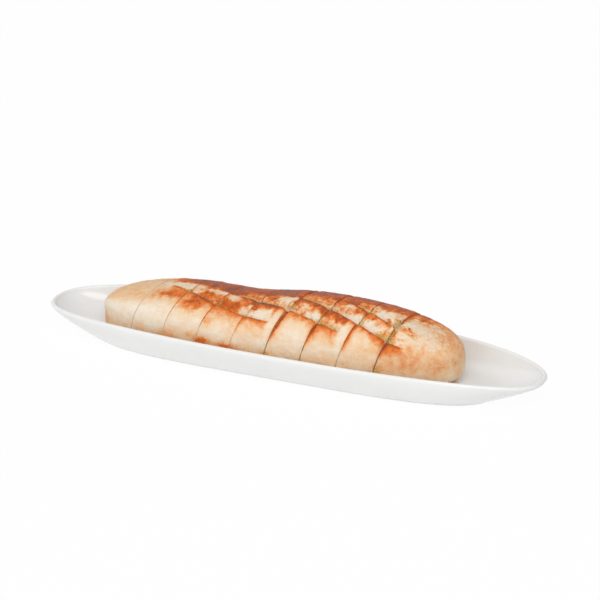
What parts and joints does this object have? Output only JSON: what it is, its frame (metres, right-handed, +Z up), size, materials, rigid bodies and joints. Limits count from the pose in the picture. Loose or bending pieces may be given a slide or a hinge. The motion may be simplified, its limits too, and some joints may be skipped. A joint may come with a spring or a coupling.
{
  "type": "bread serving dish",
  "caption": "Long oval porcelain dish with a round lip, flat well and foot ring, holding a scored loaf cut on the slant into slices and heels that lift out.",
  "frame": {"origin": "on the table, under the middle of the dish", "axes": "+X along the dish, from the loaf's left heel to its right heel; +Y to the back, away from the diner; +Z up"},
  "size_m": [0.4, 0.102, 0.0561],
  "materials": {
    "porcelain": "gloss",
    "bread": "matte"
  },
  "bodies": {
    "dish": {"dish": "porcelain"},
    "left_heel": {"left_heel": "bread"},
    "slice_1": {"slice_1": "bread"},
    "slice_2": {"slice_2": "bread"},
    "slice_3": {"slice_3": "bread"},
    "slice_4": {"slice_4": "bread"},
    "slice_5": {"slice_5": "bread"},
    "slice_6": {"slice_6": "bread"},
    "slice_7": {"slice_7": "bread"},
    "right_heel": {"right_heel": "bread"}
  },
  "joints": [
    {"name": "left_heel_lift", "type": "slide", "parent": "dish", "child": "left_heel", "axis": [0.2924, 0, 0.9563], "range_m": [0, 0.08]},
    {"name": "slice_1_lift", "type": "slide", "parent": "dish", "child": "slice_1", "axis": [0.2924, 0, 0.9563], "range_m": [0, 0.08]},
    {"name": "slice_2_lift", "type": "slide", "parent": "dish", "child": "slice_2", "axis": [0.2924, 0, 0.9563], "range_m": [0, 0.08]},
    {"name": "slice_3_lift", "type": "slide", "parent": "dish", "child": "slice_3", "axis": [0.2924, 0, 0.9563], "range_m": [0, 0.08]},
    {"name": "slice_4_lift", "type": "slide", "parent": "dish", "child": "slice_4", "axis": [0.2924, 0, 0.9563], "range_m": [0, 0.08]},
    {"name": "slice_5_lift", "type": "slide", "parent": "dish", "child": "slice_5", "axis": [0.2924, 0, 0.9563], "range_m": [0, 0.08]},
    {"name": "slice_6_lift", "type": "slide", "parent": "dish", "child": "slice_6", "axis": [0.2924, 0, 0.9563], "range_m": [0, 0.08]},
    {"name": "slice_7_lift", "type": "slide", "parent": "dish", "child": "slice_7", "axis": [0.2924, 0, 0.9563], "range_m": [0, 0.08]},
    {"name": "right_heel_lift", "type": "slide", "parent": "dish", "child": "right_heel", "axis": [0.2924, 0, 0.9563], "range_m": [0, 0.08]}
  ]
}
